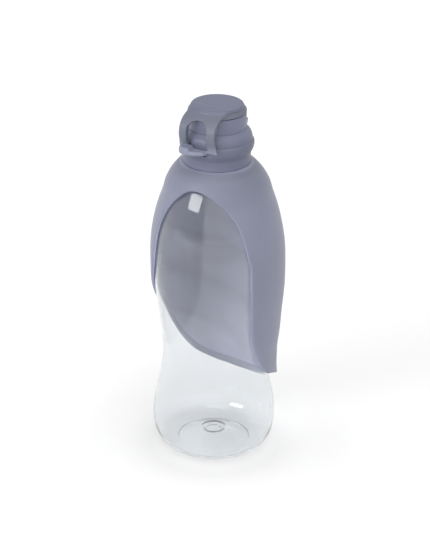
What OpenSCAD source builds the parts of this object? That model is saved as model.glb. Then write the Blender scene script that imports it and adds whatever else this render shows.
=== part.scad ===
// Dog travel water bottle: a clear squeeze bottle with a leaf-shaped
// silicone drinking bowl that folds down round it, and a screw cap with
// a hinged flip lid. Millimetres, +Z up, origin at the middle of the
// resting ring. +Y is the back of the leaf.

/* [Bottle] */
// Largest radius of the bottle, at the foot and at the bulge
bottle_r = 37.5; // [37:0.1:38]
// Wall thickness of the blown bottle
wall_t = 1.2; // [0.8:0.1:1.5]
// Outer radius of the bare neck, under the thread
neck_r = 16.9; // [16.7:0.05:16.95]
// Inner radius of the neck
neck_in_r = 15.0; // [14:0.1:15.4]
// Height of the bottle's rim above the table
rim_z = 202; // [201.5:0.1:202]
// Inner edge of the flat resting ring
rest_in_r = 22.6; // [22:0.1:23]
// Outer edge of the flat resting ring
rest_out_r = 25.4; // [25:0.1:26]

/* [Thread] */
// Rise of the thread in one turn
pitch = 4; // [3.8:0.1:4.2]
// Number of turns of each thread
thread_turns = 1.5; // [1:0.25:1.75]
// Radius of the crest of the neck's thread
thread_r = 18.2; // [18:0.05:18.3]

/* [Leaf bowl] */
// Thickness of the silicone
leaf_t = 1.6; // [1.2:0.1:1.6]
// Gap between the bottle and the silicone where it hugs it
leaf_gap = 0.3; // [0.3:0.05:0.5]
// Height at which the fixed hood ends and the folding wall begins
hood_z = 165; // [163:1:168]
// Height at which the folding wall ends and the stiff tip begins
tip_z = 43; // [42:0.5:43.5]
// Top of the hood, under the cap's skirt
hood_top_z = 187.3; // [187:0.1:187.3]

/* [Cap] */
// Outer radius of the cap's skirt
skirt_r = 20.1; // [20:0.1:20.4]
// Radius of the cap's bead
bead_r = 22.1; // [21.9:0.1:22.2]
// Inner radius of the skirt, behind the thread
skirt_in_r = 18.7; // [18.6:0.05:18.8]
// Bottom of the skirt
skirt_z = 187.6; // [187.6:0.1:188]
// Outer radius of the spout housing
barrel_r = 17.3; // [17:0.1:17.4]
// Radius of the spout's hole
spout_r = 4.4; // [4:0.1:4.6]

/* [Flip lid] */
// Turn of the lid and cap about the bottle's axis, from the leaf's front
lid_turn = 0; // [-4:1:4]
// Radius of the lid's top disc
disc_r = 16.1; // [15.8:0.1:16.3]
// Height of the top of the lid
top_z = 223.3; // [223:0.1:223.6]
// Half the width of the visor at the lid's front
visor_w = 12.3; // [11.8:0.1:12.6]
// Half the width of the window in the visor
window_w = 6.3; // [6.1:0.1:6.8]
// Height of the window's top
window_z = 218.9; // [218.4:0.1:219]
// Distance of the hinge pin from the bottle's axis
hinge_r = 23.4; // [23.2:0.1:23.6]
// Height of the hinge pin
hinge_z = 205.5; // [205.2:0.1:205.8]
// Radius of the hinge pin
pin_r = 1.2; // [1.1:0.05:1.3]
// How far the thumb tab reaches from the axis
tab_r = 28.1; // [27.6:0.1:28.4]

/* [Hidden] */
$fn = 96;

function cat(L) = [for (a = L) for (b = a) b];
function rev(L) = [for (i = [len(L) - 1 : -1 : 0]) L[i]];
// smooth curve through control points, n steps between each pair
function cr(a, b, c, d, t) = 0.5 * (2 * b + (c - a) * t
    + (2 * a - 5 * b + 4 * c - d) * t * t + (3 * b - a - 3 * c + d) * t * t * t);
function curve(P, n) = [for (i = [0 : len(P) - 2]) for (k = [0 : (i == len(P) - 2 ? n : n - 1)])
    cr(P[max(i - 1, 0)], P[i], P[i + 1], P[min(i + 2, len(P) - 1)], k / n)];

// outer side of the bottle, radius and height, foot to shoulder
side_pts = [[rest_out_r, 0], [31.5, 2.4], [35.6, 8], [bottle_r - 0.5, 13], [bottle_r, 19],
            [37, 27], [36, 34], [34.5, 41], [33, 49], [31.9, 57], [31.6, 64], [32.1, 71],
            [33.1, 81], [34.4, 91], [35.9, 101], [37, 111], [bottle_r - 0.1, 121],
            [bottle_r, 130], [37.2, 137], [36.3, 145], [34.8, 153], [32.6, 161],
            [30.2, 168], [27.8, 173], [24.6, 178], [21, 181.5], [18.2, 183.4]];
side = curve(side_pts, 3);
// the underside of the foot: punt with a step and a small dimple
punt_pts = [[rest_in_r, 0], [21.2, 1.4], [18, 3.2], [13, 5.2], [8, 6.2], [6.4, 6.4]];
punt = curve(punt_pts, 3);
side_r = [for (p = side_pts) [p[1], p[0]]];
function r_bottle(z) = lookup(z, side_r);

// how far the silicone stands off at the back, by height
off_tab = [[28, 3.5], [40, 4.5], [47, 5], [60, 7], [76, 7.8], [85, 7.2], [96, 6.2],
           [114, 4.7], [128, 3.9], [146, 2.6], [155, 2.3], [170, 2.3], [180, 1.2], [188, 0]];
function off(psi, z) = lookup(z, off_tab) * max(0, (cos(psi) + 0.5) / 1.5);
// the bottle's side as the silicone follows it over the shoulder
hug_tab = concat([for (p = side_r) if (p[0] <= 168) p], [[174, 28.6], [179, 26.4], [182, 24.6], [184, 23], [187, 20.6]]);
function r_leaf(psi, z) = lookup(z, hug_tab) + leaf_gap + leaf_t + off(psi, z);
// the rim of the leaf, degrees from its back, by height, right and left
rim_right = [[31.5, 6], [33, 21], [35.5, 30], [39, 38], [43.5, 50], [47, 60], [50.5, 70], [52.5, 78],
             [55, 84], [57.5, 89], [61.5, 94], [66.5, 98.5], [73.5, 103.5], [80, 107.5], [88.5, 110.5],
             [98, 112.5], [107, 114], [116, 115], [131, 116],
             [140, 117.5], [148, 120], [158, 126], [165, 133.5], [170, 143], [174, 153], [176, 165], [178, 180]];
rim_left = [[31.5, 4], [33.5, 16], [35, 25], [38, 34], [43, 45.5], [48.5, 54], [56, 63.5], [63.5, 71.5],
            [71.5, 79.5], [80, 88], [85.5, 93.5], [95, 106], [105, 118], [115, 128], [125, 136],
            [134, 138], [142, 139], [148, 141], [156, 144.5], [162, 150], [167, 155], [174, 167], [178, 180]];
function flip_tab(T) = [for (p = T) [p[1], p[0]]];
// height of the rim at an angle, from the same two lists
function rim_h(psi) = psi < 0 ? lookup(-psi, flip_tab(rim_right)) : lookup(psi, flip_tab(rim_left));

function at(psi, r, z) = [r * sin(psi), r * cos(psi), z];

// a strip of the leaf between two heights, open at its two side rims
module leaf_strip(z0, z1, rows, cols) {
    zs = [for (i = [0 : rows]) z0 + (z1 - z0) * i / rows];
    function psi_at(i, j) = -lookup(zs[i], rim_right)
        + (lookup(zs[i], rim_right) + lookup(zs[i], rim_left)) * j / cols;
    n = cols + 1;
    outer = [for (i = [0 : rows]) for (j = [0 : cols]) at(psi_at(i, j), r_leaf(psi_at(i, j), zs[i]), zs[i])];
    inner = [for (i = [0 : rows]) for (j = [0 : cols]) at(psi_at(i, j), r_leaf(psi_at(i, j), zs[i]) - leaf_t, zs[i])];
    m = len(outer);
    q = function (a, b, c, d) [[a, b, c], [a, c, d]];
    faces = cat([
        cat([for (i = [0 : rows - 1]) for (j = [0 : cols - 1])
            q(i * n + j, (i + 1) * n + j, (i + 1) * n + j + 1, i * n + j + 1)]),
        cat([for (i = [0 : rows - 1]) for (j = [0 : cols - 1])
            q(m + i * n + j, m + i * n + j + 1, m + (i + 1) * n + j + 1, m + (i + 1) * n + j)]),
        cat([for (j = [0 : cols - 1]) q(j, j + 1, m + j + 1, m + j)]),
        cat([for (j = [0 : cols - 1]) q(rows * n + j, m + rows * n + j, m + rows * n + j + 1, rows * n + j + 1)]),
        cat([for (i = [0 : rows - 1]) q(i * n, m + i * n, m + (i + 1) * n, (i + 1) * n)]),
        cat([for (i = [0 : rows - 1]) q(i * n + cols, (i + 1) * n + cols, m + (i + 1) * n + cols, m + i * n + cols)])
    ]);
    polyhedron(concat(outer, inner), faces, convexity = 8);
}

// the closed top of the leaf: wall, shoulder and the flange round the neck
module leaf_top(cols) {
    rows = 6;
    wall = 184.6;
    function low(psi) = max(hood_z, rim_h(psi));
    function sec(psi) = concat(
        [for (i = [0 : rows]) let (z = low(psi) + (wall - low(psi)) * i / rows) [r_leaf(psi, z), z]],
        [[22.6, 186.6], [21.6, hood_top_z], [neck_r + 0.5, hood_top_z], [neck_r + 0.5, hood_top_z - 1.7],
         [20.6, hood_top_z - 1.7]],
        [for (i = [rows : -1 : 0]) let (z = low(psi) + (wall - low(psi)) * i / rows) [r_leaf(psi, z) - leaf_t, z]]);
    k = len(sec(0));
    pts = [for (j = [0 : cols - 1]) let (psi = -180 + 360 * j / cols, s = sec(psi)) for (p = s) at(psi, p[0], p[1])];
    faces = cat([for (j = [0 : cols - 1]) for (i = [0 : k - 1])
        let (j2 = (j + 1) % cols, i2 = (i + 1) % k)
        [[j * k + i, j * k + i2, j2 * k + i2], [j * k + i, j2 * k + i2, j2 * k + i]]]);
    polyhedron(pts, faces, convexity = 8);
}

// a helical ridge standing outward (s = 1) or inward (s = -1) from root_r
module ridge(root_r, crest_r, z0, turns, s) {
    steps = round(turns * 24);
    k = 4;
    pts = [for (i = [0 : steps]) let (a = 360 * turns * i / steps, z = z0 + pitch * turns * i / steps)
        for (p = [[root_r - s * 0.5, -0.95], [crest_r, -0.45], [crest_r, 0.45], [root_r - s * 0.5, 0.95]])
            [p[0] * cos(a), p[0] * sin(a), z + p[1]]];
    side_f = [for (i = [0 : steps - 1]) for (j = [0 : k - 1])
        let (a = i * k + j, b = i * k + (j + 1) % k, c = (i + 1) * k + (j + 1) % k, d = (i + 1) * k + j)
        s > 0 ? [a, b, c, d] : [a, d, c, b]];
    f0 = [for (j = [0 : k - 1]) s > 0 ? k - 1 - j : j];
    f1 = [for (j = [0 : k - 1]) steps * k + (s > 0 ? j : k - 1 - j)];
    faces = concat(cat([for (f = side_f) [[f[0], f[1], f[2]], [f[0], f[2], f[3]]]]), [f0], [f1]);
    polyhedron(pts, faces, convexity = 8);
}

module bottle() {
    color([0.88, 0.92, 0.94, 0.4]) {
        rotate_extrude() difference() {
            polygon(concat([[0, 5.4], [4, 5.4], [5.2, 6.4]], rev(punt), side,
                [[neck_r, 184.6], [neck_r, rim_z - 0.6], [neck_r - 0.6, rim_z], [0, rim_z]]));
            polygon(concat([[0, 6.6], [4, 6.6], [5.2, 7.5]],
                [for (p = rev(punt)) [p[0] - 0.2, p[1] + wall_t]],
                [[rest_out_r, wall_t + 0.2]],
                [for (p = side) if (p[1] > 2) [p[0] - wall_t, p[1] + (p[1] < 10 ? 0.6 : p[1] > 176 ? -0.9 : 0)]],
                [[neck_in_r, 184.2], [neck_in_r, rim_z + 1], [0, rim_z + 1]]));
        }
        ridge(neck_r, thread_r, 191.2, thread_turns, 1);
    }
}

module leaf_hood() {
    color([0.56, 0.57, 0.64]) mirror([1, 0, 0]) leaf_top(60);
}
module leaf_wall() {
    color([0.55, 0.56, 0.63]) mirror([1, 0, 0]) leaf_strip(tip_z + 0.1, hood_z - 0.1, 22, 40);
}
module leaf_tip() {
    color([0.54, 0.55, 0.62]) mirror([1, 0, 0]) leaf_strip(31.8, tip_z, 6, 20);
}

deck_z = 203.6;

// the lid's visor seen from the side: reach towards the front and height
visor_out = curve([[8, 222.3], [12.9, 221.8], [16, 221], [18.9, 219.9], [20.7, 218.8], [22.4, 217.2], [23.7, 215.2],
                   [24.5, 213], [24.8, 210.4], [24.6, 207.8], [23.9, 205.5], [22.9, 203.5], [22.2, 201.8], [21.9, 200.3]], 2);
visor_in = curve([[20.9, 200.3], [20.9, 204], [21, 209], [20.9, 213], [20.4, 215.6], [19.2, 217.6], [17.7, 218.8],
                  [15, 219.25], [8, 219.3]], 2);
// the strip of the lid's rear arms between its outer and inner curve
strap_out = curve([[14.6, 222.2], [17.9, 220.4], [20.1, 218], [21.7, 215], [22.9, 211], [23.5, 207],
                   [23.7, 203], [23.4, 200], [22.4, 196.6]], 2);
strap_in = curve([[21.0, 196.6], [22.2, 200.2], [22.3, 204], [21.7, 208], [20.8, 212], [19.7, 215.4],
                  [18.5, 217.7], [17.2, 219], [14.6, 219.5]], 2);
module strap_2d() { polygon(concat(rev(strap_out), rev(strap_in))); }

module screw_cap() {
    color([0.44, 0.45, 0.53]) rotate([0, 0, lid_turn]) {
        difference() {
            union() {
                rotate_extrude() polygon([
                    [skirt_in_r, skirt_z], [skirt_r - 0.2, skirt_z], [skirt_r, skirt_z + 0.3], [skirt_r, 193.4],
                    [skirt_r + 0.4, 194.3], [21.3, 196], [bead_r - 0.3, 197.3], [bead_r, 198.6], [bead_r, 200.4],
                    [bead_r - 0.3, 201.4], [21.1, 201.9], [20.6, 202.3], [20.6, 202.6], [20.9, 203], [20.9, 203.7],
                    [20.5, 205.1], [19.8, 206.5], [18.4, 208], [17.7, 208.9], [17.3, 209.2],
                    [16.9, 209.2], [16.9, deck_z + 1.8], [9, deck_z + 1.8], [9, deck_z], [skirt_in_r, deck_z]]);
                // ear of the hinge
                translate([-3.5, 0, 0]) rotate([90, 0, 90]) linear_extrude(7)
                    polygon([[18.5, 200], [hinge_r - 1.5, 202.4], [hinge_r + 1.6, hinge_z - 2],
                             [hinge_r, hinge_z], [18, 207.6]]);
                translate([-3.5, hinge_r, hinge_z]) rotate([0, 90, 0]) cylinder(r = 2.5, h = 7);
            }
            // hole for the hinge pin
            translate([-5, hinge_r, hinge_z]) rotate([0, 90, 0]) cylinder(r = pin_r + 0.05, h = 10);
            // room for the lid's knuckles
            for (x = [-7.2, 3.5]) translate([x, hinge_r, hinge_z]) rotate([0, 90, 0]) cylinder(r = 2.9, h = 3.7);
            // flat front that gives the lid's lip its room
            translate([-14, -30, 197.4]) cube([28, 30 - 20.4, 10]);
        }
        ridge(skirt_in_r, 17.4, 189.1, thread_turns, -1);
    }
}

module neck_gasket() {
    color([0.86, 0.87, 0.88]) rotate_extrude() polygon([[13.6, rim_z + 0.1], [17.6, rim_z + 0.1],
        [17.6, deck_z - 0.1], [13.6, deck_z - 0.1]]);
}

module spout_housing() {
    color([0.46, 0.47, 0.55]) rotate_extrude() polygon([
        [15.3, 206.95], [16.85, 206.95], [16.85, 209.3], [barrel_r, 209.3], [barrel_r, 217.9],
        [barrel_r - 0.5, 218.4], [15.9, 218.4], [15.5, 217.4], [5.6, 217.4],
        [5.4, 217.9], [spout_r + 0.3, 217.9], [spout_r, 217.6], [spout_r, 212.9], [8.7, 212.9], [8.7, 208.6],
        [10.2, 208.6], [10.2, 214.9], [15.3, 214.9]]);
}

module housing_oring() {
    color([0.2, 0.2, 0.22]) translate([0, 0, 206.15]) rotate_extrude() translate([16.05, 0]) circle(r = 0.7);
}

module drip_valve() {
    color([0.86, 0.87, 0.88]) rotate([0, 0, lid_turn]) difference() {
        rotate_extrude() polygon([[0, 209.6], [2.5, 209.9], [4.4, 210.7], [5.5, 211.3], [8.6, 211.3], [8.6, 212.8],
            [5.6, 212.8], [4, 211.7], [2.3, 210.8], [0, 210.5]]);
        for (a = [45, 135]) rotate([0, 0, a]) translate([-3, -0.15, 209]) cube([6, 0.3, 3]);
    }
}

module valve_ring() {
    color([0.78, 0.79, 0.82]) rotate_extrude() polygon([[6.2, 209.2], [8.65, 209.2], [8.65, 211.25], [6.2, 211.25]]);
}

module flip_lid() {
    color([0.5, 0.52, 0.6]) rotate([0, 0, lid_turn]) difference() {
        union() {
            // top disc with its flared rim
            rotate_extrude() polygon([[0, 219.2], [15.2, 219.2], [16.8, 219], [17.3, 219.3], [17.1, 220.1],
                [16.5, 221.1], [disc_r + 0.1, 222.1], [disc_r - 0.3, 222.8], [disc_r - 1.2, top_z], [0, top_z]]);
            // visor with its window
            difference() {
                translate([-visor_w, 0, 0]) rotate([90, 0, 90]) linear_extrude(2 * visor_w) mirror([1, 0])
                    polygon(concat(visor_out, visor_in));
                translate([0, -18.6, 0]) rotate([90, 0, 0]) linear_extrude(10) hull() {
                    translate([-window_w, 203.5]) square([2 * window_w, 1]);
                    for (x = [-1, 1]) translate([x * (window_w - 5.6), window_z - 5.6]) circle(r = 5.6);
                }
            }
            // thumb tab
            translate([0, 0, 198.4]) linear_extrude(4.6) intersection() {
                hull() {
                    translate([-8, -(tab_r - 4.1)]) circle(r = 3.2);
                    translate([-5.5, -(tab_r - 3.2)]) circle(r = 3.2);
                    translate([-1.5, -(tab_r - 4.1)]) circle(r = 3);
                    translate([2, -(tab_r - 6.3)]) circle(r = 3);
                    translate([3.5, -(tab_r - 7.6)]) circle(r = 2.5);
                }
                translate([-12, -30]) square([24, 30 - 20.9]);
            }
            // rear arms and their knuckles
            for (x = [-6.8, 3.8]) translate([x, 0, 0]) rotate([90, 0, 90]) linear_extrude(3)
                intersection() { strap_2d(); polygon([[10, hinge_z], [30, hinge_z], [30, 225], [10, 225]]); }
            for (x = [-6.8, 3.8]) translate([x, hinge_r, hinge_z]) rotate([0, 90, 0]) cylinder(r = 2.5, h = 3);
        }
        translate([-8, hinge_r, hinge_z]) rotate([0, 90, 0]) cylinder(r = pin_r, h = 16);
    }
}

module lid_seal() {
    color([0.86, 0.87, 0.88]) rotate([0, 0, lid_turn]) rotate_extrude()
        polygon([[0, 217.3], [2.6, 217.5], [3.3, 218.05], [6.4, 218.05], [6.4, 219.15], [0, 219.15]]);
}

module hinge_pin() {
    color([0.72, 0.73, 0.75]) rotate([0, 0, lid_turn]) translate([-6.8, hinge_r, hinge_z]) rotate([0, 90, 0])
        cylinder(r = pin_r, h = 13.6);
}

bottle();
leaf_hood();
leaf_wall();
leaf_tip();
screw_cap();
neck_gasket();
spout_housing();
housing_oring();
drip_valve();
valve_ring();
flip_lid();
lid_seal();
hinge_pin();
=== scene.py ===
import math

import bpy
import numpy as np
from mathutils import Matrix, Vector


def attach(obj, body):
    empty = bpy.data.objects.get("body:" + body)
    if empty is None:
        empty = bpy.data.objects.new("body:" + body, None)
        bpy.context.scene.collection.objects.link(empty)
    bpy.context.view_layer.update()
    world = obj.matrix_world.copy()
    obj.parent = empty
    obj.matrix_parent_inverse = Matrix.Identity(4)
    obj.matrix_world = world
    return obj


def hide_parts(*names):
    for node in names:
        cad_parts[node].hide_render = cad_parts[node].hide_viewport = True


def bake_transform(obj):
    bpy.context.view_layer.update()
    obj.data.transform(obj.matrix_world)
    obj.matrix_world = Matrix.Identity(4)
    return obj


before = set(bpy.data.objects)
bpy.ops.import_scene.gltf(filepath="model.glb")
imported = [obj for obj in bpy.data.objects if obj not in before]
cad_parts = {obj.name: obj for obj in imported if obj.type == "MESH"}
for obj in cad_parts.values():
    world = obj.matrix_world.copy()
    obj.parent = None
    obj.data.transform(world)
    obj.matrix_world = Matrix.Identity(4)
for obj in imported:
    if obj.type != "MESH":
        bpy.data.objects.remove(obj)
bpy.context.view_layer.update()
SC = bpy.context.scene
MM = 0.001

# ------------------------------------------------------------------ camera
# The photograph: 430 x 552 pixels, looking down at about 25 degrees.
W, H = 430.0, 552.0
CAM_AZ, CAM_EL, CAM_D = math.radians(30.0), math.radians(25.44), 1.3356
LOOK = Vector((0, 0, 0.1113))
back = Vector((math.sin(CAM_AZ) * math.cos(CAM_EL), -math.cos(CAM_AZ) * math.cos(CAM_EL), math.sin(CAM_EL)))
cam_data = bpy.data.cameras.new("camera")
cam = bpy.data.objects.new("camera", cam_data)
SC.collection.objects.link(cam)
SC.camera = cam
cam_data.sensor_fit = "AUTO"
cam_data.sensor_width = 36.0
cam_data.lens = 2206.1 * 36.0 / H
cam_data.shift_x = -0.43 / H
cam_data.clip_start, cam_data.clip_end = 0.05, 20
cam.rotation_mode = "QUATERNION"
cam.location = LOOK + back * CAM_D
cam.rotation_quaternion = (-back).to_track_quat("-Z", "Y") @ Matrix.Rotation(math.radians(0.66), 3, "Z").to_quaternion()


# ------------------------------------------------------------------ helpers
def link(me, name):
    o = bpy.data.objects.new(name, me)
    SC.collection.objects.link(o)
    return o


def mesh_from(name, verts, faces, smooth=True):
    """verts in millimetres"""
    me = bpy.data.meshes.new(name)
    v = np.asarray(verts, np.float64) * MM
    me.from_pydata(v.tolist(), [], faces)
    me.validate(clean_customdata=False)
    me.update()
    if smooth:
        me.polygons.foreach_set("use_smooth", np.ones(len(me.polygons), bool))
    return link(me, name)


def quads_obj(name, verts, quads, smooth=True):
    me = bpy.data.meshes.new(name)
    v = (np.asarray(verts, np.float64) * MM).astype(np.float32)
    q = np.asarray(quads, np.int32)
    me.vertices.add(len(v))
    me.vertices.foreach_set("co", v.ravel())
    me.loops.add(q.size)
    me.loops.foreach_set("vertex_index", q.ravel())
    me.polygons.add(len(q))
    me.polygons.foreach_set("loop_start", np.arange(0, q.size, q.shape[1], dtype=np.int32))
    me.polygons.foreach_set("use_smooth", np.full(len(q), smooth))
    me.update(calc_edges=True)
    me.validate()
    return link(me, name)


def catmull(P, n, closed=False):
    """smooth curve through P with n steps a span (centripetal-like by chord)"""
    P = np.asarray(P, float)
    out = []
    m = len(P)
    spans = m if closed else m - 1
    for i in range(spans):
        if closed:
            a, b, c, d = P[(i - 1) % m], P[i], P[(i + 1) % m], P[(i + 2) % m]
        else:
            a, b, c, d = P[max(i - 1, 0)], P[i], P[i + 1], P[min(i + 2, m - 1)]
        for k in range(n):
            t = k / n
            out.append(0.5 * (2 * b + (c - a) * t + (2 * a - 5 * b + 4 * c - d) * t * t + (3 * b - a - 3 * c + d) * t ** 3))
    if not closed:
        out.append(P[-1])
    return np.array(out)


def pchip(x, y):
    """monotone cubic through the points, as a function"""
    x, y = np.asarray(x, float), np.asarray(y, float)
    h, dl = np.diff(x), np.diff(y) / np.diff(x)
    m = np.zeros(len(x))
    for i in range(1, len(x) - 1):
        if dl[i - 1] * dl[i] > 0:
            w1, w2 = 2 * h[i] + h[i - 1], h[i] + 2 * h[i - 1]
            m[i] = (w1 + w2) / (w1 / dl[i - 1] + w2 / dl[i])
    m[0], m[-1] = dl[0], dl[-1]

    def f(q):
        q = np.clip(np.asarray(q, float), x[0], x[-1])
        i = np.clip(np.searchsorted(x, q, side="right") - 1, 0, len(x) - 2)
        t = (q - x[i]) / h[i]
        a, b, c, d = 2 * t ** 3 - 3 * t ** 2 + 1, t ** 3 - 2 * t ** 2 + t, -2 * t ** 3 + 3 * t ** 2, t ** 3 - t ** 2
        return a * y[i] + b * h[i] * m[i] + c * y[i + 1] + d * h[i] * m[i + 1]

    return f


def round_corners(P, r, seg=4, closed=True):
    """P: list of (x, y) or (x, y, radius); each corner is rounded by its radius or by r"""
    out = []
    m = len(P)
    for i in range(m):
        p = np.array(P[i][:2], float)
        rad = P[i][2] if len(P[i]) > 2 else r
        if (not closed and i in (0, m - 1)) or rad <= 0:
            out.append(p)
            continue
        a, b = np.array(P[i - 1][:2], float), np.array(P[(i + 1) % m][:2], float)
        u, v = a - p, b - p
        lu, lv = np.linalg.norm(u), np.linalg.norm(v)
        u, v = u / lu, v / lv
        ang = math.acos(max(-1, min(1, float(u @ v))))
        if ang > math.pi - 0.12:
            out.append(p)
            continue
        t = min(rad / math.tan(ang / 2), 0.48 * lu, 0.48 * lv)
        rr = t * math.tan(ang / 2)
        c = p + (u + v) / np.linalg.norm(u + v) * (rr / math.sin(ang / 2))
        s, e = p + u * t, p + v * t
        a0, a1 = math.atan2(*(s - c)[::-1]), math.atan2(*(e - c)[::-1])
        da = (a1 - a0 + math.pi) % (2 * math.pi) - math.pi
        for k in range(seg + 1):
            q = a0 + da * k / seg
            out.append(c + rr * np.array([math.cos(q), math.sin(q)]))
    return np.array(out)


def lathe(name, prof, n=160, closed=True, turn=0.0):
    """revolves a closed profile (r, z) about Z; radius-0 points become poles"""
    prof = np.asarray(prof, float)
    k = len(prof)
    verts, rows = [], []
    for r, z in prof:
        if r < 1e-6:
            rows.append([len(verts)] * n)
            verts.append((0, 0, z))
        else:
            i0 = len(verts)
            rows.append(list(range(i0, i0 + n)))
            for j in range(n):
                a = 2 * math.pi * j / n + turn
                verts.append((r * math.sin(a), -r * math.cos(a), z))
    faces = []
    for i in range(k if closed else k - 1):
        A, B = rows[i], rows[(i + 1) % k]
        pa, pb = A[0] == A[1], B[0] == B[1]
        if pa and pb:
            continue
        for j in range(n):
            j2 = (j + 1) % n
            if pa:
                faces.append((A[0], B[j2], B[j]))
            elif pb:
                faces.append((A[j], A[j2], B[0]))
            else:
                faces.append((A[j], A[j2], B[j2], B[j]))
    o = mesh_from(name, verts, faces)
    return o


def outward(o):
    """faces point out of the solid"""
    import bmesh
    bm = bmesh.new()
    bm.from_mesh(o.data)
    bmesh.ops.recalc_face_normals(bm, faces=bm.faces)
    bm.to_mesh(o.data)
    bm.free()
    o.data.update()
    return o


def auto_smooth(o, deg=35):
    me = o.data
    me.polygons.foreach_set("use_smooth", np.ones(len(me.polygons), bool))
    try:
        me.set_sharp_from_angle(angle=math.radians(deg))
    except Exception:
        pass
    return o


# --- signed distance pieces -> mesh (surface nets, then vertices slid onto the surface)
def nets(name, f, lo, hi, step, iters=3):
    lo, hi = np.array(lo, float), np.array(hi, float)
    dims = np.ceil((hi - lo) / step).astype(int) + 1
    xs = [lo[i] + step * np.arange(dims[i]) for i in range(3)]
    X, Y, Z = np.meshgrid(*xs, indexing="ij")
    D = f(X, Y, Z)
    nx, ny, nz = dims - 1
    S = D < 0
    corners = [(i, j, k) for i in (0, 1) for j in (0, 1) for k in (0, 1)]
    inside = sum(S[i:i + nx, j:j + ny, k:k + nz].astype(np.int8) for i, j, k in corners)
    act = (inside > 0) & (inside < 8)
    ids = -np.ones(act.shape, np.int64)
    ci, cj, ck = np.nonzero(act)
    ids[ci, cj, ck] = np.arange(len(ci))
    acc = np.zeros((len(ci), 3))
    cnt = np.zeros(len(ci))
    edges = []
    for a in corners:
        for ax in range(3):
            if a[ax] == 0:
                b = list(a)
                b[ax] = 1
                edges.append((a, tuple(b), ax))
    for a, b, ax in edges:
        da = D[ci + a[0], cj + a[1], ck + a[2]]
        db = D[ci + b[0], cj + b[1], ck + b[2]]
        m = (da < 0) != (db < 0)
        t = np.where(m, da / np.where(m, da - db, 1), 0)
        p = np.array(a, float)[None, :].repeat(len(ci), 0)
        p[:, ax] += t
        acc[m] += p[m]
        cnt[m] += 1
    v = acc / cnt[:, None] + np.stack([ci, cj, ck], 1)
    v = lo + v * step
    quads = []
    for ax in range(3):
        o1, o2 = [(1, 2), (2, 0), (0, 1)][ax]
        sl0 = [slice(None)] * 3
        sl1 = [slice(None)] * 3
        sl0[ax], sl1[ax] = slice(0, -1), slice(1, None)
        a, b = S[tuple(sl0)], S[tuple(sl1)]
        for flip, m in ((False, a & ~b), (True, ~a & b)):
            idx = np.array(np.nonzero(m)).T
            ok = (idx[:, o1] > 0) & (idx[:, o2] > 0) & (idx[:, o1] < dims[o1] - 1) & (idx[:, o2] < dims[o2] - 1)
            idx = idx[ok]

            def cell(d1, d2):
                q = idx.copy()
                q[:, o1] += d1
                q[:, o2] += d2
                return ids[q[:, 0], q[:, 1], q[:, 2]]

            Q = np.stack([cell(-1, -1), cell(0, -1), cell(0, 0), cell(-1, 0)], 1)
            if flip:
                Q = Q[:, ::-1]
            quads.append(Q)
    Q = np.concatenate(quads)
    e = 0.02
    for _ in range(iters):
        d0 = f(v[:, 0], v[:, 1], v[:, 2])
        g = np.stack([(f(v[:, 0] + e * (i == 0), v[:, 1] + e * (i == 1), v[:, 2] + e * (i == 2)) - d0) / e for i in range(3)], 1)
        gl = np.maximum((g ** 2).sum(1), 0.05)
        mv = np.clip(d0, -step * 0.7, step * 0.7)[:, None] * g / gl[:, None]
        v = v - mv * 0.9
    g = np.stack([f(v[:, 0] + e * (i == 0), v[:, 1] + e * (i == 1), v[:, 2] + e * (i == 2))
                  - f(v[:, 0] - e * (i == 0), v[:, 1] - e * (i == 1), v[:, 2] - e * (i == 2)) for i in range(3)], 1)
    g /= np.maximum(np.linalg.norm(g, axis=1), 1e-9)[:, None]
    o = quads_obj(name, v, Q)
    if len(o.data.vertices) == len(g):
        o.data.normals_split_custom_set_from_vertices(g.tolist())
    return o


def smin(a, b, k):
    h = np.clip(0.5 + 0.5 * (b - a) / k, 0, 1)
    return b * (1 - h) + a * h - k * h * (1 - h)


def smax(a, b, k):
    return -smin(-a, -b, k)


def poly_sd(P, x, y):
    """signed distance to a closed polygon (negative inside)"""
    P = np.asarray(P, float)
    d = np.full(x.shape, 1e18)
    inside = np.zeros(x.shape, bool)
    m = len(P)
    for i in range(m):
        ax, ay = P[i - 1]
        bx, by = P[i]
        ex, ey = bx - ax, by - ay
        wx, wy = x - ax, y - ay
        t = np.clip((wx * ex + wy * ey) / (ex * ex + ey * ey + 1e-12), 0, 1)
        dx, dy = wx - ex * t, wy - ey * t
        d = np.minimum(d, dx * dx + dy * dy)
        c = ((ay > y) != (by > y)) & (x < (bx - ax) * (y - ay) / (by - ay + 1e-18) + ax)
        inside ^= c
    d = np.sqrt(d)
    return np.where(inside, -d, d)


# ------------------------------------------------------------------ materials
def lin(r, g, b):
    def f(c):
        c /= 255.0
        return c / 12.92 if c <= 0.04045 else ((c + 0.055) / 1.055) ** 2.4
    return (f(r), f(g), f(b), 1.0)


def new_mat(name):
    m = bpy.data.materials.new(name)
    m.use_nodes = True
    nt = m.node_tree
    for n in list(nt.nodes):
        nt.nodes.remove(n)
    out = nt.nodes.new("ShaderNodeOutputMaterial")
    bs = nt.nodes.new("ShaderNodeBsdfPrincipled")
    nt.links.new(bs.outputs[0], out.inputs[0])
    return m, nt, bs


def noise(nt, scale, detail=3.0, rough=0.5, coord=None, stretch=None):
    tc = nt.nodes.new("ShaderNodeTexCoord") if coord is None else coord
    n = nt.nodes.new("ShaderNodeTexNoise")
    n.inputs["Scale"].default_value = scale
    n.inputs["Detail"].default_value = detail
    n.inputs["Roughness"].default_value = rough
    src = tc.outputs["Object"]
    if stretch:
        mp = nt.nodes.new("ShaderNodeMapping")
        mp.inputs["Scale"].default_value = stretch
        nt.links.new(src, mp.inputs[0])
        src = mp.outputs[0]
    nt.links.new(src, n.inputs["Vector"])
    return n


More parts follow.
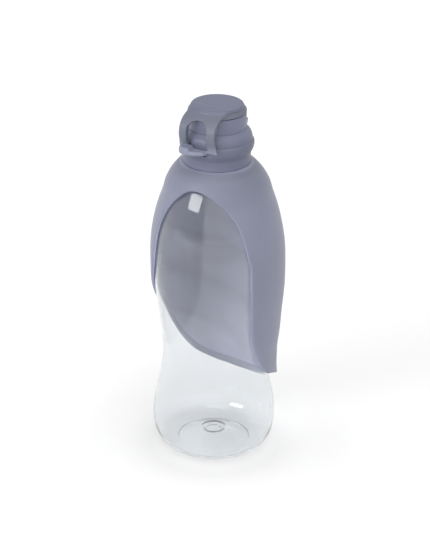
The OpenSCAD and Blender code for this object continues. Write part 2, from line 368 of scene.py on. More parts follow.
def ramp(nt, src, stops):
    r = nt.nodes.new("ShaderNodeValToRGB")
    el = r.color_ramp.elements
    while len(el) < len(stops):
        el.new(0.5)
    for e, (p, c) in zip(el, stops):
        e.position = p
        e.color = c if len(c) == 4 else (*c, 1)
    nt.links.new(src, r.inputs[0])
    return r


def map_range(nt, src, a, b, c, d):
    m = nt.nodes.new("ShaderNodeMapRange")
    m.inputs["From Min"].default_value, m.inputs["From Max"].default_value = a, b
    m.inputs["To Min"].default_value, m.inputs["To Max"].default_value = c, d
    nt.links.new(src, m.inputs["Value"])
    return m


def plastic(name, col, rough=0.42, var=0.05, bump=0.02, grain=900.0, spec=0.5, sheen=0.0, wear=0.12, shade=(), tone=None):
    """moulded plastic or silicone: mottled colour, fine grain in bump and roughness, paler on edges"""
    m, nt, bs = new_mat(name)
    big = noise(nt, 38.0, 4.0, 0.55)
    c0 = tuple(c * (1 - var) for c in col[:3])
    c1 = tuple(min(1, c * (1 + var)) for c in col[:3])
    cr = ramp(nt, big.outputs["Fac"], [(0.32, c0), (0.68, c1)])
    geo = nt.nodes.new("ShaderNodeNewGeometry")
    edge = map_range(nt, geo.outputs["Pointiness"], 0.52, 0.62, 0.0, wear)
    mix = nt.nodes.new("ShaderNodeMix")
    mix.data_type = "RGBA"
    mix.inputs["B"].default_value = (*[min(1, c * 1.35 + 0.02) for c in col[:3]], 1)
    nt.links.new(edge.outputs[0], mix.inputs["Factor"])
    nt.links.new(cr.outputs[0], mix.inputs["A"])
    top = mix.outputs["Result"]
    if shade:
        # painted shade and light by height: stops of (metres, grey factor)
        sp = nt.nodes.new("ShaderNodeSeparateXYZ")
        nt.links.new(nt.nodes["Texture Coordinate"].outputs["Object"], sp.inputs[0])
        z0, z1 = shade[0][0], shade[-1][0]
        mr = map_range(nt, sp.outputs["Z"], z0, z1, 0.0, 1.0)
        gr = ramp(nt, mr.outputs[0], [((z - z0) / (z1 - z0), g if isinstance(g, tuple) else (g, g, g)) for z, g in shade])
        mul = nt.nodes.new("ShaderNodeMix")
        mul.data_type, mul.blend_type = "RGBA", "MULTIPLY"
        mul.inputs["Factor"].default_value = 1.0
        nt.links.new(top, mul.inputs["A"])
        nt.links.new(gr.outputs[0], mul.inputs["B"])
        top = mul.outputs["Result"]
    if tone:
        # colour scaled by the mesh's tone attribute: painted light and shade, darker veins
        at = nt.nodes.new("ShaderNodeAttribute")
        at.attribute_name = tone
        mul = nt.nodes.new("ShaderNodeMix")
        mul.data_type, mul.blend_type = "RGBA", "MULTIPLY"
        mul.inputs["Factor"].default_value = 1.0
        nt.links.new(top, mul.inputs["A"])
        nt.links.new(at.outputs["Color"], mul.inputs["B"])
        top = mul.outputs["Result"]
    nt.links.new(top, bs.inputs["Base Color"])
    fine = noise(nt, grain, 2.0, 0.6)
    rr = map_range(nt, fine.outputs["Fac"], 0.3, 0.7, rough - 0.05, rough + 0.06)
    nt.links.new(rr.outputs[0], bs.inputs["Roughness"])
    bp = nt.nodes.new("ShaderNodeBump")
    bp.inputs["Strength"].default_value = bump
    bp.inputs["Distance"].default_value = 0.0004
    nt.links.new(fine.outputs["Fac"], bp.inputs["Height"])
    nt.links.new(bp.outputs[0], bs.inputs["Normal"])
    bs.inputs["Specular IOR Level"].default_value = spec
    bs.inputs["Sheen Weight"].default_value = sheen
    bs.inputs["Sheen Roughness"].default_value = 0.5
    return m


MAT = {}
# leaf: painted shade by height, darker up the leaf and darkest just under the cap's skirt, with painted light on the
# flange against the skirt to hide the crease's shadow line
MAT["leaf"] = plastic("leaf_silicone", lin(121, 124.5, 144), rough=0.5, var=0.035, bump=0.05, sheen=0.1, tone="tone",
                      shade=[(0.03, 0.89), (0.09, 0.86), (0.13, 0.81), (0.166, 0.8), (0.174, 0.74), (0.182, 0.66), (0.1837, 0.625), (0.1853, 0.575), (0.1868, 0.62),
                             (0.1873, 1.0)])
# inside of the leaf: the same silicone painted lighter and bluer, painted light for the side seen through the bottle
MAT["leaf_in"] = plastic("leaf_silicone_inside", lin(151, 152, 178), rough=0.5, var=0.02, bump=0.008, sheen=0.1, tone="tone")
# lid: painted light and shade by height, the tab at the bottom lighter, the arms and the disc top darker, the disc top
# also bluer
MAT["lid"] = plastic("lid_plastic", lin(112.5, 117, 134.5), rough=0.45, var=0.03, bump=0.04,
                     shade=[(0.198, 1.0), (0.2025, 1.0), (0.2065, 0.62), (0.217, 0.582), (0.2205, 0.54), (0.2235, (0.51, 0.532, 0.605))])
# cap: painted shade and light by height, lightest at the skirt's bottom edge, darkest over the skirt and bead, lighter
# again towards the top
MAT["cap"] = plastic("cap_plastic", lin(102, 106.5, 128), rough=0.45, var=0.03, bump=0.04,
                     shade=[(0.1876, 1.0), (0.1895, 0.81), (0.192, 0.72), (0.1945, 0.74), (0.198, 0.68), (0.2035, 0.735), (0.2065, 0.87), (0.2185, 0.89)])
MAT["seal"] = plastic("seal_silicone", lin(222, 224, 226), rough=0.35, var=0.03, bump=0.03)
MAT["white"] = plastic("white_plastic", lin(214, 216, 220), rough=0.3, var=0.02, bump=0.02)
MAT["oring"] = plastic("black_rubber", lin(28, 28, 30), rough=0.6, var=0.1, bump=0.1)
MAT["pin"] = plastic("pin_steel", lin(160, 160, 165), rough=0.28, var=0.03, bump=0.02)
MAT["pin"].node_tree.nodes["Principled BSDF"].inputs["Metallic"].default_value = 1.0


def clear_plastic(name, tint=(0.9, 0.918, 0.932), rough=0.03, bump=0.015):
    """clear blown plastic with a little milk in it, streaked along its height"""
    m, nt, bs = new_mat(name)
    n = noise(nt, 30.0, 3.0, 0.5, stretch=(1, 1, 0.35))
    c = ramp(nt, n.outputs["Fac"], [(0.3, tuple(t * 0.985 for t in tint)), (0.7, tint)])
    nt.links.new(c.outputs[0], bs.inputs["Base Color"])
    n2 = noise(nt, 14.0, 3.0, 0.5, stretch=(1, 1, 0.5))
    r = map_range(nt, n2.outputs["Fac"], 0.3, 0.7, rough * 0.6, rough * 1.4)
    nt.links.new(r.outputs[0], bs.inputs["Roughness"])
    bp = nt.nodes.new("ShaderNodeBump")
    bp.inputs["Strength"].default_value = bump
    bp.inputs["Distance"].default_value = 0.002
    nt.links.new(n2.outputs["Fac"], bp.inputs["Height"])
    nt.links.new(bp.outputs[0], bs.inputs["Normal"])
    bs.inputs["Transmission Weight"].default_value = 0.985
    bs.inputs["IOR"].default_value = 1.45
    return m


MAT["clear"] = clear_plastic("clear_plastic")

# ------------------------------------------------------------------ the bottle
SIDE = [(25.6, 0.08), (28.4, 0.6), (31.5, 2.1), (34.0, 4.8), (35.6, 8), (37.0, 13), (37.5, 19),
        (37, 27), (36, 34), (34.5, 41), (33, 49), (31.9, 57), (31.6, 64), (32.1, 71),
        (33.1, 81), (34.4, 91), (35.9, 101), (37, 111), (37.4, 121),
        (37.5, 130), (37.2, 137), (36.3, 145), (34.8, 153), (32.6, 161),
        (30.2, 168), (27.8, 173), (24.6, 178), (21, 181.5), (18.2, 183.4)]
PUNT = [(22.1, 0.12), (21.6, 0.42), (20.8, 0.8), (19.4, 1.5), (17, 2.6), (13, 4.3), (9.5, 5.6), (7.7, 6.25), (7.0, 6.5), (6.3, 6.1), (5.6, 5.2), (4.9, 5.0),
        (4.0, 5.35), (2.4, 5.5), (0, 5.5)]
NECK_R, NECK_IN, RIM_Z, WALL = 16.9, 15.0, 202.0, 1.2
side = catmull(SIDE, 5)
punt = catmull(PUNT, 3)
R_BOTTLE = pchip([p[1] for p in SIDE], [p[0] for p in SIDE])


def offset_in(P, t):
    """P moved to its left by t (t may vary)"""
    T = np.gradient(P, axis=0)
    T /= np.maximum(np.linalg.norm(T, axis=1), 1e-9)[:, None]
    N = np.stack([-T[:, 1], T[:, 0]], 1)
    return P + N * np.asarray(t).reshape(-1, 1)


outer = np.concatenate([punt[::-1], [(22.9, 0.03), (23.8, 0.0), (24.7, 0.02)], side[0:]])
neck = round_corners([(18.2, 183.4, 0), (16.9, 184.8, 0.8), (16.9, 201.6, 0.5), (16.4, 202.0, 0.4), (15.5, 202.0, 0.5), (15.0, 201.5, 0)], 0.4, closed=False)
# wall of the blown bottle
zz = side[:, 1]
w_side = np.interp(zz, [0, 3, 7, 14, 30, 170, 184], [1.1, 1.1, 1.1, 1.0, 0.95, 1.1, 1.3])
inner_side = offset_in(side, w_side)
w_p = np.interp(punt[::-1][:, 0], [0, 6, 22], [1.0, 1.0, 1.1])
inner_p = offset_in(punt[::-1], w_p)
inner_p[:, 0] = np.maximum(inner_p[:, 0], 0)
keep = inner_side[:, 1] > 1.5
inner_side = inner_side[keep]
inner_p = inner_p[inner_p[:, 0] < 20.4]
inner_p[0] = (0, inner_p[0][1])
join = catmull([tuple(inner_p[-2]), tuple(inner_p[-1]), (20.95, 1.78), (21.4, 1.58), (21.75, 1.2), (22.2, 1.12), (24.8, 1.12), tuple(inner_side[0]), tuple(inner_side[1])], 4)[4:29]
inner = np.concatenate([inner_p[:-1], join, inner_side[1:], [(15.3, 184.8), (15.0, 185.6)]])
prof = np.concatenate([outer, neck[1:], inner[::-1]])
d = np.linalg.norm(np.diff(prof, axis=0), axis=1)
prof = prof[np.concatenate([[True], d > 0.02])]
bottle = lathe("clear_bottle", prof, 224, closed=False)
outward(bottle)
auto_smooth(bottle, 50)
bottle.data.materials.append(MAT["clear"])
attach(bottle, "bottle")
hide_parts("bottle")
bottle.visible_shadow = False


def helix_ridge(name, root, crest, z0, pitch, turns, s, start=0.0, n=96):
    """a moulded thread whose ends run out smoothly"""
    steps = int(n * turns)
    sec = round_corners([(0, -0.98, 0), (1, -0.48, 0.25), (1, 0.48, 0.25), (0, 0.98, 0)], 0.2, 3, closed=False)
    k = len(sec)
    V, F = [], []
    for i in range(steps + 1):
        u = i / steps
        g = min(1, min(u, 1 - u) / 0.06)
        g = g * g * (3 - 2 * g)
        a = start + 2 * math.pi * turns * u
        z = z0 + pitch * turns * u
        hgt = (crest - root) * g
        for q, (x, y) in enumerate(sec):
            r = root - s * 0.35 + (hgt + s * 0.35) * x
            V.append((r * math.cos(a), r * math.sin(a), z + y * (0.25 + 0.75 * g)))
    for i in range(steps):
        for j in range(k):
            a, b = i * k + j, i * k + (j + 1) % k
            F.append((a, b, b + k, a + k))
    F.append(tuple(range(k))[::-1])
    F.append(tuple(steps * k + j for j in range(k)))
    o = mesh_from(name, V, F)
    outward(o)
    auto_smooth(o, 60)
    return o


thread = helix_ridge("neck_thread", 16.9, 18.2, 191.2, 4, 1.5, 1)
thread.data.materials.append(MAT["clear"])
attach(thread, "bottle")
thread.visible_shadow = False

# ------------------------------------------------------------------ the leaf
LEAF_T, LEAF_GAP = 1.6, 0.3
NECK_PLANE, TIP_Z = 187.0, 31.4
HUG = pchip([p[1] for p in SIDE if p[1] <= 168] + [174, 179, 182, 184, 187.4],
            [p[0] for p in SIDE if p[1] <= 168] + [28.6, 26.4, 24.6, 23.0, 20.3])
OFF = pchip([26, 28, 40, 47, 60, 76, 85, 96, 114, 128, 146, 155, 170, 180, 188],
            [3.5, 3.5, 4.5, 5, 7, 7.8, 7.2, 6.2, 4.7, 3.9, 2.6, 2.3, 2.3, 1.2, 0])


def r_leaf(psi, z):
    """outer radius of the leaf; psi in degrees from its back"""
    return HUG(z) + LEAF_GAP + LEAF_T + OFF(z) * np.clip((np.cos(np.radians(psi)) + 0.5) / 1.5, 0, None)


# the rim, from the top of the arch down the right side to the tip and up the left
RIM = [(-180, 178.1), (-172, 178.2), (-166, 177.6), (-160, 176.4), (-153, 174.4), (-143, 170.3), (-136, 166.2), (-129, 160.4),
       (-124, 153), (-120.4, 144), (-118, 136.5),
       (-116, 131), (-115, 116), (-114, 107), (-112.5, 98), (-110.5, 88.5), (-107.5, 80), (-103.5, 73.5), (-98.5, 66.7),
       (-94, 61.7), (-89, 57.7), (-84, 54.9), (-78, 52.6), (-70, 50.4), (-60, 47), (-50, 43.4), (-38, 38.9), (-29.5, 35.6),
       (-21, 33), (-12, 31.7), (-3.5, 31.4), (7, 32), (16, 33.3), (25, 35), (34, 38), (45.5, 43), (54, 48.5), (63.5, 56),
       (71.5, 63.4), (79.5, 71.4), (88, 80), (95, 86.8),
       (106, 95.5), (117, 105), (128, 115), (134.5, 125), (137.3, 134),
       (138.9, 142), (141, 150), (144.3, 157.5), (149, 163.6), (154.5, 168.3), (163, 173.1), (171.5, 176.7), (180, 178.1)]



def resample(P, n, wx=0.62):
    P = np.asarray(P, float)
    d = np.linalg.norm(np.diff(P * np.array([wx, 1.0]), axis=0), axis=1)
    s = np.concatenate([[0], np.cumsum(d)])
    q = np.linspace(0, s[-1], n + 1)
    return np.stack([np.interp(q, s, P[:, i]) for i in range(2)], 1)


NT, NV = 420, 64
ext = [(p[0] - 360, p[1]) for p in RIM[-4:-1]] + RIM + [(p[0] + 360, p[1]) for p in RIM[1:4]]
rim_c = catmull(ext, 12)
rim_c = rim_c[(rim_c[:, 0] >= -180.0001) & (rim_c[:, 0] <= 180.0001)]
rim = resample(rim_c, NT)[:-1]
tt = np.arange(NT) / NT
psi_top = -180 + 360 * (0.55 * tt + 0.45 * (rim[:, 0] + 180) / 360)
TOP_Z = 184.6


def ray(j, v):
    """point of ray j at share v from the rim (0) to the top of the wall (1)"""
    z = rim[j, 1] + (TOP_Z - rim[j, 1]) * v
    psi = rim[j, 0] + (psi_top[j] - rim[j, 0]) * v
    return psi, z


# vein grooves on the bottle's side of the leaf, as (psi, z) lines mirrored about the middle
VEINS = [[(0, 107), (13, 111), (24, 114.5), (38, 120), (54, 125.7), (72, 131.8), (92, 137)],
         [(0, 74), (3.6, 78), (23, 85.3), (33, 89.8), (49, 95.5), (67, 101.6), (90, 109)],
         [(0, 47.5), (6, 53), (25, 61.5), (50, 70), (68, 76), (89, 82.5)]]
MID = [(0, 40), (0, 176)]


def vein_depth(psi, z):
    R = 40.0
    best = np.full(psi.shape, 1e9)
    for s in (1, -1):
        for L in VEINS:
            P = catmull(L, 5)
            for a, b in zip(P[:-1], P[1:]):
                ax, ay = math.radians(s * a[0]) * R, a[1]
                bx, by = math.radians(s * b[0]) * R, b[1]
                x, y = np.radians(psi) * R, z
                ex, ey = bx - ax, by - ay
                t = np.clip(((x - ax) * ex + (y - ay) * ey) / (ex * ex + ey * ey), 0, 1)
                best = np.minimum(best, np.hypot(x - ax - ex * t, y - ay - ey * t))
    g = np.clip(1 - (best / 2.6) ** 2, 0, 1) ** 1.5
    mid = np.abs(np.radians(psi)) * R
    gm = np.clip(1 - (mid / 2.2) ** 2, 0, 1) ** 1.5 * np.clip((z - 36) / 12, 0, 1) * np.clip((178 - z) / 12, 0, 1)
    return np.maximum(g, gm)


def section_rows():
    """rows of (psi, r, z) arrays round the neck flange and down the outside; also the rim's line and outward direction,
    the wall function and the shares down the wall
    """
    rows = []
    js = np.arange(NT)
    vs = 1 - (np.linspace(0, 1, NV + 1)) ** 0.92

    def wall(v, side):
        psi, z = ray(js, v)
        r = r_leaf(psi, z) - (LEAF_T if side else 0)
        return psi, r, z

    psi_t = psi_top
    one = np.ones(NT)
    # flange round the neck, then over the shoulder
    top = [(17.4, 185.6), (17.4, 187.0), (17.8, 187.5), (20.4, 187.52), (21.5, 187.3), (22.5, 186.8), (23.4, 186.0)]
    for r, z in top:
        rows.append((psi_t, one * r, one * z))
    blend_in = 3
    for i, v in enumerate(vs[:-1]):
        rows.append(wall(v, 0))
    # rim: half round
    psi, z = ray(js, 0.0)
    r = r_leaf(psi, z) - LEAF_T / 2
    # direction out of the rim, in the surface: away from the inside of the ray
    p1, z1 = ray(js, 0.02)
    rad = r
    dx, dz = np.radians(psi - p1) * rad, z - z1
    tx, tz = np.gradient(np.radians(np.unwrap(np.radians(psi)) * 180 / math.pi)) * rad, np.gradient(z)
    nx, nz = -tz, tx
    s = np.sign(nx * dx + nz * dz)
    ln = np.hypot(nx, nz)
    nx, nz = nx / ln * s, nz / ln * s
    return rows, (psi, r, z, nx, nz), wall, vs


rows, rimdata, wall, vs = section_rows()
psi0, r0, z0, nx, nz = rimdata
# smooth the outward direction along the rim
for _ in range(6):
    nx = (np.roll(nx, 1) + 2 * nx + np.roll(nx, -1)) / 4
    nz = (np.roll(nz, 1) + 2 * nz + np.roll(nz, -1)) / 4
ln = np.hypot(nx, nz)
nx, nz = nx / ln, nz / ln
BEAD = 1.0
for k in range(1, 8):
    a = math.pi * k / 8
    out = (math.sin(a) if k <= 4 else 1 - 0.2 * (1 - math.sin(a))) * BEAD
    rr = r0 + math.cos(a) * (LEAF_T / 2 + (0.2 if k > 4 else 0.0))
    rows.append((psi0 + np.degrees(nx * out / r0), rr, z0 + nz * out))
for q, v in enumerate(vs[::-1][1:]):
    psi, r, z = wall(v, 1)
    rows.append((psi, r - 0.2 * max(0.0, 1 - q / 4), z))
for r, z in [(22.3, 185.2), (21.3, 185.5), (19.0, 185.6)]:
    rows.append((psi_top, np.ones(NT) * r, np.ones(NT) * z))

K = len(rows)
PSI = np.array([q[0] for q in rows])
RR = np.array([q[1] for q in rows])
ZZ = np.array([q[2] for q in rows])
# the first outer rows and the last inner ones meet the shoulder smoothly
n_top, n_out = 7, NV
inner0 = n_top + n_out + 7
dep = vein_depth(PSI[inner0:inner0 + NV], ZZ[inner0:inner0 + NV])
fade = np.clip((np.arange(NV) / NV) / 0.06, 0, 1)[:, None]
RR[inner0:inner0 + NV] += 0.55 * dep * fade
V = np.stack([-RR * np.sin(np.radians(PSI)), RR * np.cos(np.radians(PSI)), ZZ], -1).reshape(-1, 3)
ii, jj = np.meshgrid(np.arange(K), np.arange(NT), indexing="ij")
i2, j2 = (ii + 1) % K, (jj + 1) % NT
Q = np.stack([ii * NT + jj, ii * NT + j2, i2 * NT + j2, i2 * NT + jj], -1).reshape(-1, 4)
leaf = quads_obj("leaf_bowl", V, Q)
outward(leaf)
leaf.data.materials.append(MAT["leaf"])
leaf.data.materials.append(MAT["leaf_in"])
# the inside rows take the painted lighter copy of the silicone
mi = np.zeros((K, NT), np.int32)
mi[inner0 + 1:K - 3] = 1
leaf.data.polygons.foreach_set("material_index", mi.ravel()[:len(leaf.data.polygons)])

# painted shade on the leaf's inside: a patch over the upper part, bounded below by a U-shaped edge, and a narrow band
# running down the left side
SHADE_EDGE_Z = pchip([-30, -20, -10, 3, 12, 20, 30, 44, 62, 73, 80, 88], [140, 126, 117, 109, 103, 100, 99, 103, 111, 118, 130, 165])
SHADE_BAND_PSI = pchip([40, 59, 66, 78, 90, 104, 134, 165], [66, 63, 59, 55, 49, 48, 47, 47])


def broad_veins(psi, z):
    best = np.full(psi.shape, 1e9)
    for s in (1, -1):
        for L in VEINS:
            P = catmull(L, 4)
            for a, b in zip(P[:-1], P[1:]):
                ax, ay, bx, by = math.radians(s * a[0]) * 40, a[1], math.radians(s * b[0]) * 40, b[1]
                x = np.radians(psi) * 40
                ex, ey = bx - ax, by - ay
                t = np.clip(((x - ax) * ex + (z - ay) * ey) / (ex * ex + ey * ey), 0, 1)
                best = np.minimum(best, np.hypot(x - ax - ex * t, z - ay - ey * t))
    return np.exp(-(best / 4.2) ** 2)


tone = np.ones((K, NT))
P_, Z_ = PSI[inner0 - 4:K - 3], ZZ[inner0 - 4:K - 3]
shade_patch = np.clip((Z_ - SHADE_EDGE_Z(P_)) / 2.4 + 0.5, 0, 1) * np.clip((P_ + 32) / 4, 0, 1) * np.clip((90 - P_) / 6, 0, 1)
shade_band = np.clip((4.6 - np.abs(P_ - SHADE_BAND_PSI(Z_))) / 1.6, 0, 1) * np.clip((158 - Z_) / 6, 0, 1) * np.clip((Z_ - 50) / 40, 0, 1)
# painted light: the inside made lighter with height and towards its left side; the painted shade patch and band and the
# darker veins multiply in
PAINTED_LIFT_Z = pchip([20, 44, 51, 58, 70, 84, 97, 104, 110, 117, 124, 132, 186], [1.05, 1.13, 1.22, 1.13, 1.06, 1.08, 1.16, 1.1, 1.2, 1.36, 1.46, 1.46, 1.46])
tone[inner0 - 4:K - 3] = PAINTED_LIFT_Z(Z_) * (1 - 0.09 * shade_patch) * (1 - 0.05 * shade_band) * (1 - 0.12 * broad_veins(P_, Z_)) * (1 + 0.26 * np.clip((P_ - 42) / 34, 0, 1))
# painted light: the rows round the rim lighter, to hide the shade in the gap against the bottle
for q, g in enumerate([1.02, 1.05, 1.09, 1.13, 1.16, 1.18, 1.2, 1.2, 1.2, 1.15, 1.05]):
    tone[n_top + NV - 2 + q] *= g
at = leaf.data.attributes.new("tone", "FLOAT_COLOR", "POINT")
tc4 = np.ones((K * NT, 4), np.float32)
tc4[:, :3] = tone.reshape(-1, 1)
blue = np.ones((K, NT))
blue[inner0 + 3:K - 3] = pchip([20, 50, 75, 100, 125, 186], [0.9, 0.92, 0.95, 0.99, 1.02, 1.02])(ZZ[inner0 + 3:K - 3])
tc4[:, 2] *= blue.ravel()
at.data.foreach_set("color", tc4.ravel())
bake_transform(leaf)
# vertex heights of the leaf, in millimetres
zz = np.zeros(len(leaf.data.vertices) * 3, np.float32)
leaf.data.vertices.foreach_get("co", zz)
zz = zz.reshape(-1, 3)[:, 2] / MM
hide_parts("leaf_hood", "leaf_wall", "leaf_tip")

# ------------------------------------------------------------------ the flip lid
HINGE_Y, HINGE_Z, PIN_R = 23.4, 205.5, 1.2
VIS_OUT = catmull([(8, 222.3), (12.9, 221.8), (16, 221), (18.9, 219.9), (20.7, 218.8), (22.4, 217.2), (23.7, 215.2),
                   (24.5, 213), (24.8, 210.4), (24.6, 207.8), (23.9, 205.5), (22.9, 203.5), (22.1, 201.6), (21.7, 200)], 4)
VIS_IN = catmull([(20.9, 200), (20.9, 204), (21, 209), (20.9, 213), (20.4, 215.6), (19.2, 217.6), (17.7, 218.8), (15, 219.2), (8, 219.3)], 4)
VISOR = np.concatenate([VIS_OUT, VIS_IN])
DEEP = np.concatenate([[(8, 190)], VIS_OUT, [(21.5, 198), (21.5, 190)]])
DISC = round_corners([(-1, 219.2, 0), (15.2, 219.2, 0.6), (16.6, 218.6, 0.25), (17.35, 218.75, 0.3), (17.4, 219.6, 0.5), (16.7, 220.5, 0.6), (15.8, 221.1, 0.5),
                      (15.75, 222.3, 0.5), (15.35, 223.0, 0.5), (14.3, 223.27, 0.8), (9, 223.35, 0), (-1, 223.35, 0)], 0.5, 4)
ARM = np.concatenate([catmull([(14.6, 222.0), (17.6, 220.2), (19.8, 217.8), (21.3, 214.8), (22.4, 211), (23.6, 208.2), (25.7, 205.7)], 3),
                      [(21.2, 205.0)],
                      catmull([(21.0, 207.4), (19.4, 210.4), (18.8, 213.4), (18.4, 216.4), (17.6, 218.6), (14.6, 219.5)], 3)])
TAB_PLAN = [(-8.0, 24.0), (-5.5, 24.9), (-1.4, 24.0), (2.1, 21.9), (3.0, 19.5), (-8.0, 19.5)]
TAB_R, TAB_Z0, TAB_Z1 = 3.2, 198.4, 203.0


def box2(x, y, hx, hy, r):
    qx, qy = np.abs(x) - hx + r, np.abs(y) - hy + r
    return np.hypot(np.maximum(qx, 0), np.maximum(qy, 0)) + np.minimum(np.maximum(qx, qy), 0) - r


def arch(x, z, half, top, low, r_top, r_low):
    """a round-topped window; the two lower corners have their own radius"""
    mid, hy = (top + low) / 2, (top - low) / 2
    up = box2(x, z - mid, half, hy, r_top)
    dn = box2(x, z - mid, half, hy, r_low)
    t = np.clip((z - mid) / 2 + 0.5, 0, 1)
    return up * t + dn * (1 - t)


def lid_field(X, Y, Z):
    F = -Y
    R = np.hypot(X, Y)
    Fc = F + X * X / 300.0
    d = poly_sd(VISOR, Fc, Z)
    depth = np.maximum(-poly_sd(DEEP, Fc, Z), 0)
    half = 12.4 - 0.42 * np.minimum(depth, 4) + 0.5 * np.clip((203 - Z) / 2.5, 0, 1) ** 2
    visor = smax(d, (np.abs(X) - half) * 0.93, 1.5)
    disc = poly_sd(DISC, R, Z)
    m = smin(disc, visor, 2.6)
    win = np.maximum(arch(X + 0.3, Z, 6.5, 218.3, 201.4, 5.6, 1.6), 18.4 - F)
    m = smax(m, -win, 1.3)
    # tab
    plan = poly_sd(TAB_PLAN, X, F) - TAB_R
    step = np.clip((X + 4.6) / 2.2, 0, 1)
    top = TAB_Z1 - 1.9 * step * step * (3 - 2 * step)
    mid, hz = (TAB_Z0 + top) / 2, (top - TAB_Z0) / 2
    px, pz = np.maximum(plan + 1.2, 0), np.maximum(np.abs(Z - mid) - hz + 1.2, 0)
    tab = np.hypot(px, pz) + np.minimum(np.maximum(plan + 1.2, np.abs(Z - mid) - hz + 1.2), 0) - 1.2
    tab = smax(tab, np.minimum(20.9, np.sqrt(np.maximum(22.7 ** 2 - X * X, 0))) - F, 0.4)
    m = smin(m, tab, 0.7)
    # rear arms and knuckles
    a = poly_sd(ARM, Y, Z)
    a = np.maximum(a, -1 * Y)
    kn = np.hypot(Y - HINGE_Y, Z - HINGE_Z) - 2.5
    a = smin(a, kn, 0.6)
    t = np.clip((Z - 209.4) / 2.5, 0, 1)
    a = smax(a, np.abs(np.abs(X) - 5.15 + 0.7 * t) - 1.35 - 0.7 * t, 0.6)
    m = smin(m, a, 1.0)
    return np.maximum(m, PIN_R - np.hypot(Y - HINGE_Y, Z - HINGE_Z))


lid = nets("flip_lid_shell", lid_field, (-18.3, -29.2, 197.4), (18.3, 27.2, 224.3), 0.38)
lid.data.materials.append(MAT["lid"])
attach(lid, "lid")
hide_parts("flip_lid")

# ------------------------------------------------------------------ the screw cap
CAP = round_corners([(18.7, 187.6, 0.3), (20.1, 187.6, 0.15), (20.1, 193.2, 0.8), (20.5, 194.3, 0.8), (21.3, 196, 1),
                     (21.85, 197.3, 0.8), (22.1, 198.6, 1), (22.1, 200.3, 0.9), (21.7, 201.3, 0.6), (21.1, 201.9, 0.6), (20.75, 202.35, 0.5),
                     (20.9, 202.9, 0.3), (20.9, 203.7, 0.6), (20.5, 205.1, 1), (19.8, 206.5, 1), (18.4, 208, 0.8), (17.7, 208.9, 0.5),
                     (17.32, 209.28, 0.1), (16.9, 209.28, 0.1), (16.9, 205.4, 0.3), (9, 205.4, 0.3), (9, 203.6, 0.2), (18.7, 203.6, 0.4)], 0.3, 4)
EAR = [(18.0, 199.6), (21.9, 201.6), (25.2, 203.6), (25.8, 205.5), (23.4, 207.9), (18, 207.8)]


def cap_field(X, Y, Z):
    R = np.hypot(X, Y)
    m = poly_sd(CAP, R, Z)
    front = np.maximum(Y + 20.4, 197.4 - Z)
    m = smax(m, -front, 0.9)
    ear = smin(poly_sd(EAR, Y, Z), np.hypot(Y - HINGE_Y, Z - HINGE_Z) - 2.5, 0.5)
    ear = smax(ear, np.abs(X) - 3.45, 0.5)
    m = smin(m, ear, 0.8)
    room = np.maximum(np.hypot(Y - HINGE_Y, Z - HINGE_Z) - 2.9, np.abs(np.abs(X) - 5.35) - 1.87)
    m = smax(m, -room, 0.3)
    hole = np.maximum(np.hypot(Y - HINGE_Y, Z - HINGE_Z) - PIN_R - 0.05, np.abs(X) - 5)
    return np.maximum(m, -hole)


cap = nets("screw_cap_shell", cap_field, (-22.9, -22.9, 186.9), (22.9, 26.8, 210.0), 0.4)
cap.data.materials.append(MAT["cap"])
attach(cap, "cap")
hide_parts("screw_cap")
cap_thread = helix_ridge("cap_thread", 18.7, 17.4, 189.1, 4, 1.5, -1)
cap_thread.data.materials.append(MAT["cap"])
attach(cap_thread, "cap")

HOUSING = round_corners([(15.3, 206.95, 0.2), (16.85, 206.95, 0.2), (16.85, 209.3, 0.1), (17.3, 209.3, 0.05), (17.3, 218.4, 0.4), (15.8, 218.4, 0.4),
                         (15.5, 217.4, 0.3), (5.9, 217.4, 0.5), (5.5, 217.9, 0.3), (4.8, 217.9, 0.3),
                         (4.4, 217.5, 0.3), (4.4, 212.9, 0.2), (8.7, 212.9, 0.2), (8.7, 208.6, 0.2), (10.2, 208.6, 0.2), (10.2, 214.9, 0.3),
                         (15.3, 214.9, 0.3)], 0.3, 5)
housing = lathe("spout_housing_shell", HOUSING, 192)
outward(housing)
auto_smooth(housing, 50)
housing.data.materials.append(MAT["cap"])
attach(housing, "cap")
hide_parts("spout_housing")

# ------------------------------------------------------------------ materials on the CAD nodes
for node, mat in {"neck_gasket": "seal", "housing_oring": "oring",
                  "drip_valve": "seal", "valve_ring": "white", "lid_seal": "seal", "hinge_pin": "pin"}.items():
    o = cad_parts[node]
    if not o.material_slots:
        o.data.materials.append(MAT[mat])
    for s in o.material_slots:
        s.material = MAT[mat]

# ------------------------------------------------------------------ floor, light
SC.view_settings.view_transform = "Standard"
SC.view_settings.look = "None"
SC.view_settings.exposure = 0.0
SC.view_settings.gamma = 1.0

floor = mesh_from("floor", [(-6000, -6000, 0), (6000, -6000, 0), (6000, 6000, 0), (-6000, 6000, 0)], [(0, 1, 2, 3)])
m, nt, bs = new_mat("floor_paper")
n = noise(nt, 3.0, 2.0)
c = ramp(nt, n.outputs["Fac"], [(0.3, (0.9, 0.9, 0.9)), (0.7, (0.915, 0.915, 0.915))])
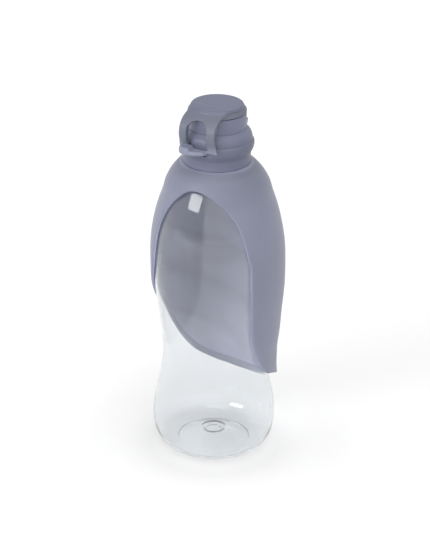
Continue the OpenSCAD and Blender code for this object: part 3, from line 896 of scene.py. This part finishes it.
# painted shadow round the bottle's foot: the floor darker within a metre of it, most near the foot, the centre shifted
# a little to the front
off_ = nt.nodes.new("ShaderNodeVectorMath")
off_.operation = "SUBTRACT"
off_.inputs[1].default_value = (0.004, -0.007, 0)
nt.links.new(nt.nodes["Texture Coordinate"].outputs["Object"], off_.inputs[0])
ln_ = nt.nodes.new("ShaderNodeVectorMath")
ln_.operation = "LENGTH"
nt.links.new(off_.outputs[0], ln_.inputs[0])
mr = map_range(nt, ln_.outputs["Value"], 0.02, 1.02, 0.0, 1.0)
gr = ramp(nt, mr.outputs[0], [(p, (g, g, g)) for p, g in ((0.0, 0.8), (0.0195, 0.7), (0.03, 0.727), (0.04, 0.745), (0.055, 0.747), (0.065, 0.753), (0.08, 0.767),
                                                          (0.1, 0.785), (0.13, 0.785), (0.18, 0.785), (0.33, 0.815), (0.6, 0.92), (1.0, 1.0))])
mul = nt.nodes.new("ShaderNodeMix")
mul.data_type, mul.blend_type = "RGBA", "MULTIPLY"
mul.inputs["Factor"].default_value = 1.0
nt.links.new(c.outputs[0], mul.inputs["A"])
nt.links.new(gr.outputs[0], mul.inputs["B"])
nt.links.new(mul.outputs["Result"], bs.inputs["Base Color"])
bs.inputs["Roughness"].default_value = 0.9
bs.inputs["Specular IOR Level"].default_value = 0.1
floor.data.materials.append(m)

world = bpy.data.worlds.new("studio")
SC.world = world
world.use_nodes = True
wn = world.node_tree
bg = wn.nodes["Background"]
tc = wn.nodes.new("ShaderNodeTexCoord")
sp = wn.nodes.new("ShaderNodeSeparateXYZ")
wn.links.new(tc.outputs["Generated"], sp.inputs[0])
wr = ramp(wn, sp.outputs["Z"], [(0.0, (0.72, 0.72, 0.73)), (0.12, (0.83, 0.83, 0.84)), (0.35, (0.95, 0.95, 0.95)), (1.0, (1.0, 1.0, 1.0))])
wn.links.new(wr.outputs[0], bg.inputs["Color"])
bg.inputs["Strength"].default_value = 1.0


def area(name, az, el, dist, w, h, power, target=(0, 0, 0.12), col=(1, 1, 1)):
    a, e = math.radians(az) + CAM_AZ, math.radians(el)
    d = Vector((math.sin(a) * math.cos(e), -math.cos(a) * math.cos(e), math.sin(e)))
    L = bpy.data.lights.new(name, "AREA")
    L.shape, L.size, L.size_y, L.energy, L.color = "RECTANGLE", w, h, power, col
    o = bpy.data.objects.new(name, L)
    SC.collection.objects.link(o)
    o.location = Vector(target) + d * dist
    o.rotation_mode = "QUATERNION"
    o.rotation_quaternion = (-d).to_track_quat("-Z", "Y")
    return o


key = area("key", -50, 28, 1.5, 0.7, 0.59, 9)
key.location = key.location + key.rotation_quaternion @ Vector((-0.034, -0.079, 0))
key.rotation_quaternion = key.rotation_quaternion @ Matrix.Rotation(math.radians(4), 3, "Z").to_quaternion()
area("top", 8, 74, 1.6, 1.6, 1.6, 14)
area("fill", -88, 12, 1.6, 1.2, 1.2, 1)
area("front", 14, 9, 1.8, 2.6, 2.2, 8.4)
